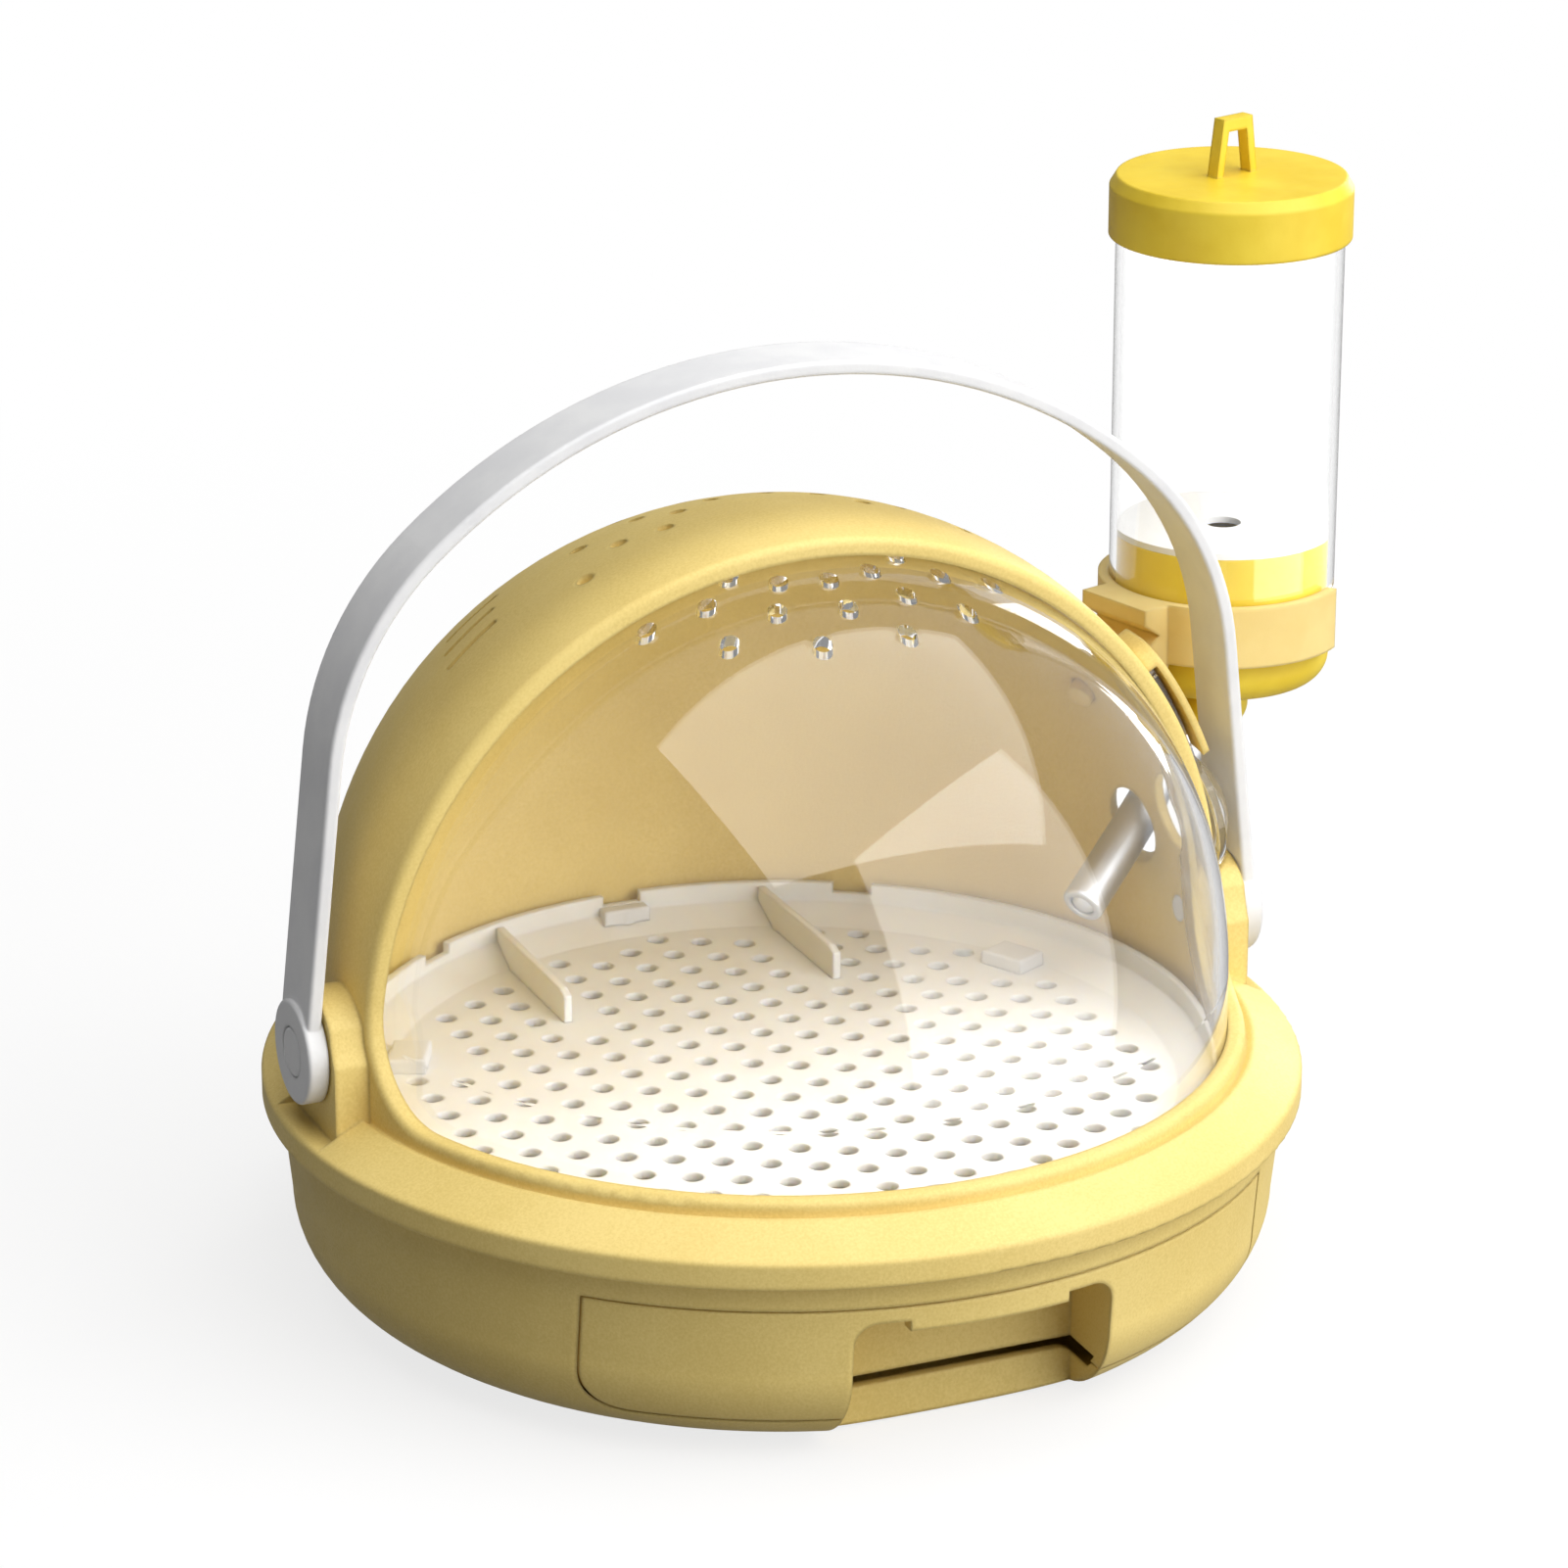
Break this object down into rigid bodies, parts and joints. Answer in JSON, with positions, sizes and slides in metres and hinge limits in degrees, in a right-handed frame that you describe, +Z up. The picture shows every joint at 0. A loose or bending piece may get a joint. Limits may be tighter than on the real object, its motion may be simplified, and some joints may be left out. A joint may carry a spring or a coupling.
{
  "type": "small pet carrier",
  "caption": "Round domed carrier for a small pet, with a clear front window, swinging strap handle, perforated floor over a waste drawer, side feeding port and clip-on water bottle.",
  "frame": {"origin": "on the ground under the middle of the round tub", "axes": "+Z up, -Y to the front, where the window and the drawer face, +X to the side with the bottle"},
  "size_m": [0.2573, 0.2202, 0.2306],
  "materials": {
    "shell": "fine matte",
    "cap": "satin",
    "bracket": "satin",
    "floor": "satin",
    "white": "satin",
    "clear": "clear",
    "seal": "soft",
    "steel": "brushed"
  },
  "bodies": {
    "base": {"base_tub": "shell", "floor_tray": "floor", "divider_left": "floor", "divider_right": "floor", "floor_clips": "white"},
    "drawer": {"waste_drawer": "shell"},
    "cover": {"cover_shell": "shell", "window": "clear", "port_hood": "shell", "port_pin": "steel", "handle_pins": "white"},
    "handle": {"handle": "white"},
    "port_cover": {"port_cover": "clear"},
    "bottle": {"bottle_bracket": "bracket", "bottle_tube": "clear", "bottle_plug": "cap", "plug_seal": "seal", "drinking_tube": "steel"},
    "valve_ball": {"valve_ball": "steel"},
    "cap": {"bottle_cap": "cap", "cap_seal": "seal"}
  },
  "joints": [
    {"name": "cover_lift", "type": "slide", "parent": "base", "child": "cover", "axis": [0, 0, 1], "range_m": [0, 0.09]},
    {"name": "drawer_slide", "type": "slide", "parent": "base", "child": "drawer", "axis": [0, -1, 0], "range_m": [0, 0.12]},
    {"name": "handle_swing", "type": "hinge", "parent": "cover", "child": "handle", "pos_m": [0, 0, 0.0648], "axis": [1, 0, 0], "range_deg": [0, 85]},
    {"name": "port_cover_swing", "type": "hinge", "parent": "cover", "child": "port_cover", "pos_m": [0.0831, -0.00145, 0.12043], "axis": [-0.8479, 0.0148, -0.5299], "range_deg": [0, 75]},
    {"name": "bottle_slide", "type": "slide", "parent": "cover", "child": "bottle", "axis": [0.7375, 0.4413, 0.5113], "range_m": [0, 0.075]},
    {"name": "cap_lift", "type": "slide", "parent": "bottle", "child": "cap", "axis": [0, 0, 1], "range_m": [0, 0.03]},
    {"name": "valve_ball_lift", "type": "slide", "parent": "bottle", "child": "valve_ball", "axis": [0.7375, 0.4413, 0.5113], "range_m": [0, 0.0015]}
  ]
}
